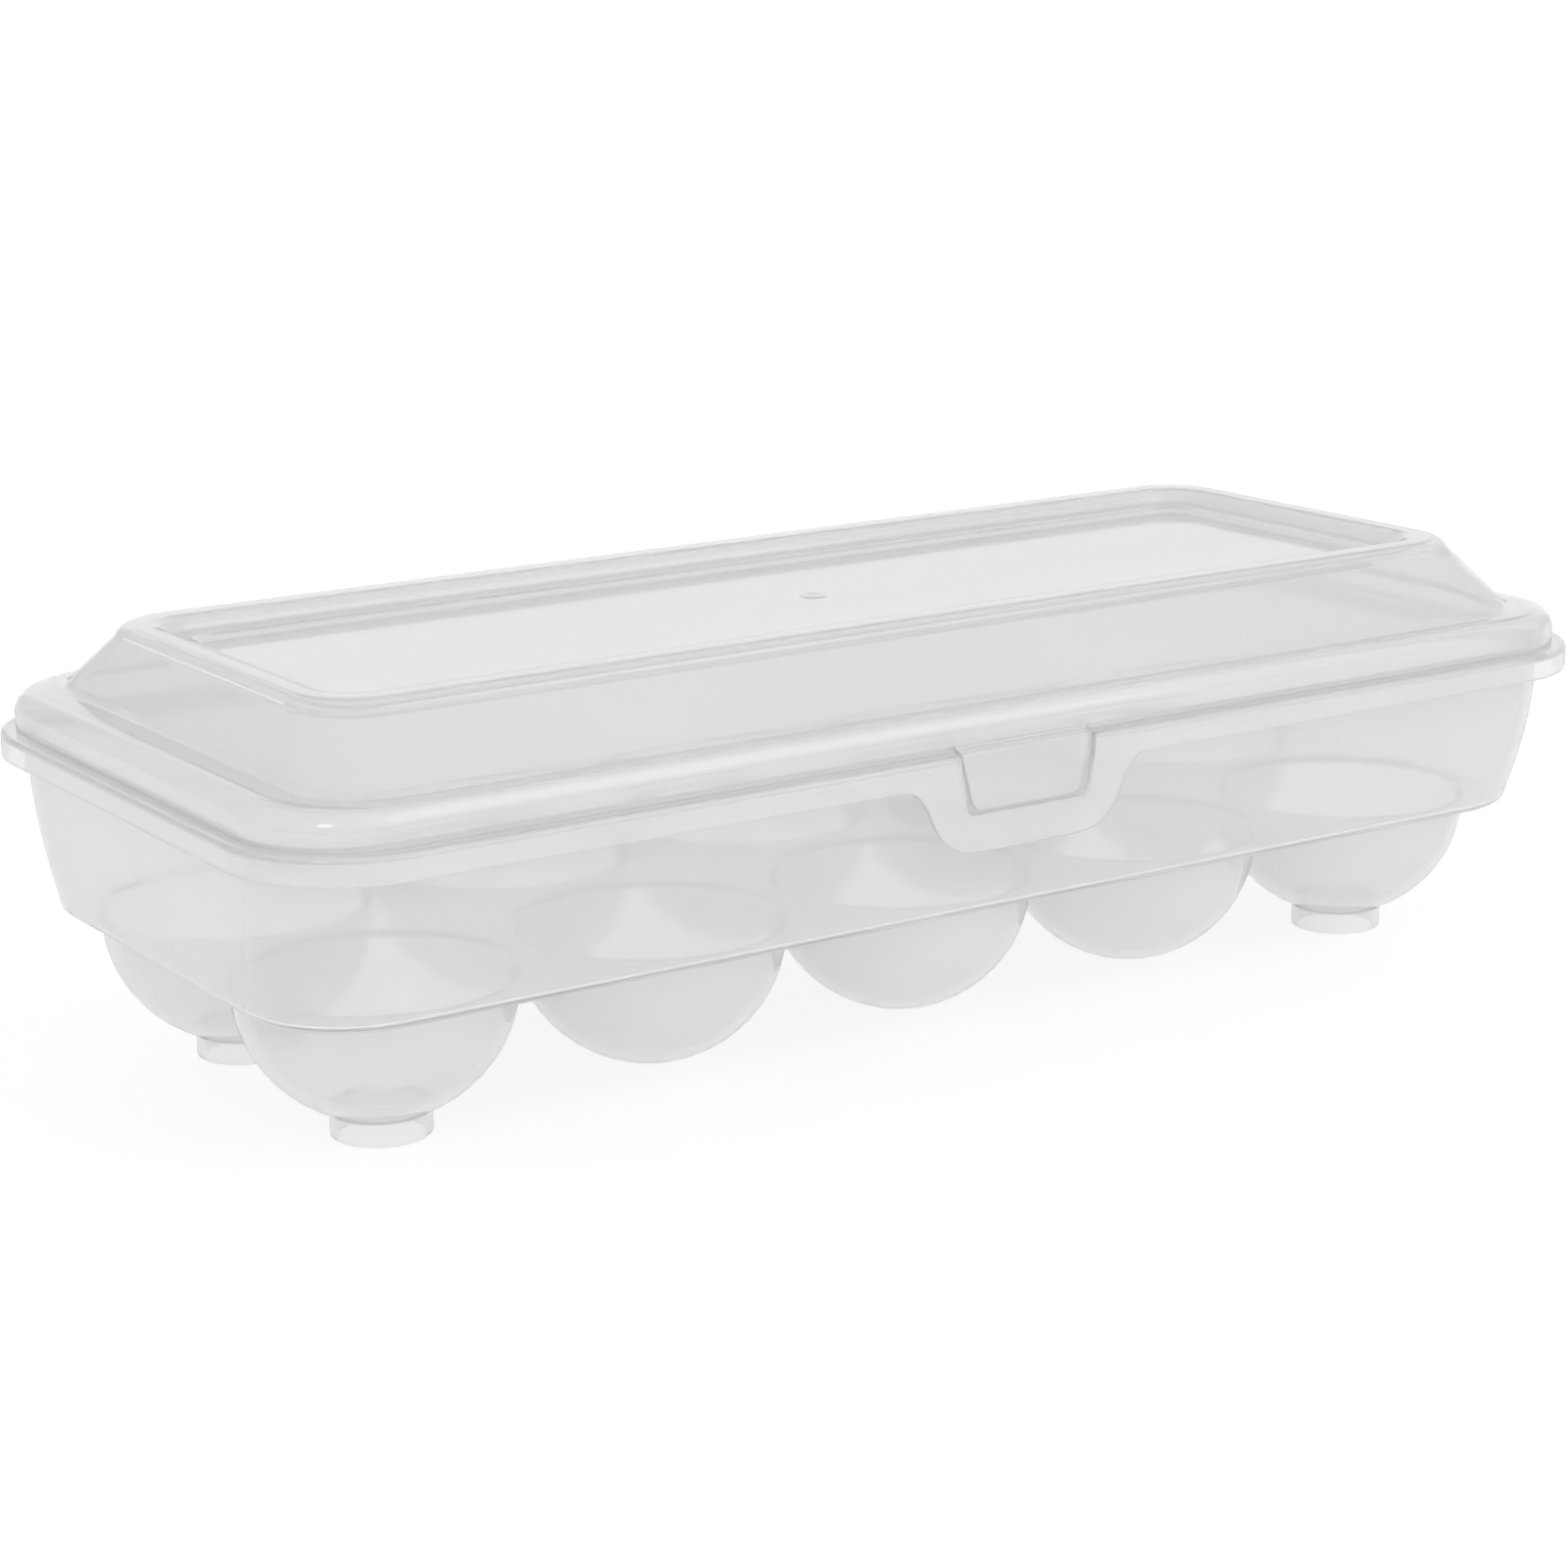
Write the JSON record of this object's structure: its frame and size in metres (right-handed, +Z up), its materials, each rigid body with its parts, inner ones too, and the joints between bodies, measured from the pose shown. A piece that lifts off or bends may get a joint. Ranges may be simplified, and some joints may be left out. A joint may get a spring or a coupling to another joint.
{
  "type": "lidded egg storage box",
  "caption": "Low translucent plastic box with two rows of round egg cups on short feet, a hinged hipped lid and a front finger tab latch.",
  "frame": {"origin": "on the surface the box stands on, under the centre of the box's bounding box", "axes": "+X along the box's length, +Y towards the hinge side (the finger tab is at -Y), +Z up"},
  "size_m": [0.29, 0.1368, 0.0812],
  "materials": {
    "tray_plastic": "satin translucent",
    "lid_plastic": "satin translucent"
  },
  "bodies": {
    "tray": {"tray_rim": "tray_plastic", "tray_wall": "tray_plastic", "tray_deck": "tray_plastic", "latch_apron": "tray_plastic", "egg_cup_1": "tray_plastic", "egg_cup_2": "tray_plastic", "egg_cup_3": "tray_plastic", "egg_cup_4": "tray_plastic", "egg_cup_5": "tray_plastic", "egg_cup_6": "tray_plastic", "egg_cup_7": "tray_plastic", "egg_cup_8": "tray_plastic", "egg_cup_9": "tray_plastic", "egg_cup_10": "tray_plastic", "foot_front_left": "tray_plastic", "foot_front_right": "tray_plastic", "foot_back_left": "tray_plastic", "foot_back_right": "tray_plastic"},
    "lid": {"lid_band": "lid_plastic", "lid_roof": "lid_plastic", "lid_ridge": "lid_plastic", "lid_panel": "lid_plastic", "lid_finger_tab": "lid_plastic", "lid_hook_left": "lid_plastic", "lid_hook_right": "lid_plastic"}
  },
  "joints": [
    {"name": "lid_hinge", "type": "hinge", "parent": "tray", "child": "lid", "pos_m": [0, 0.0684, 0.0616], "axis": [-1, 0, 0], "range_deg": [0, 95]}
  ]
}
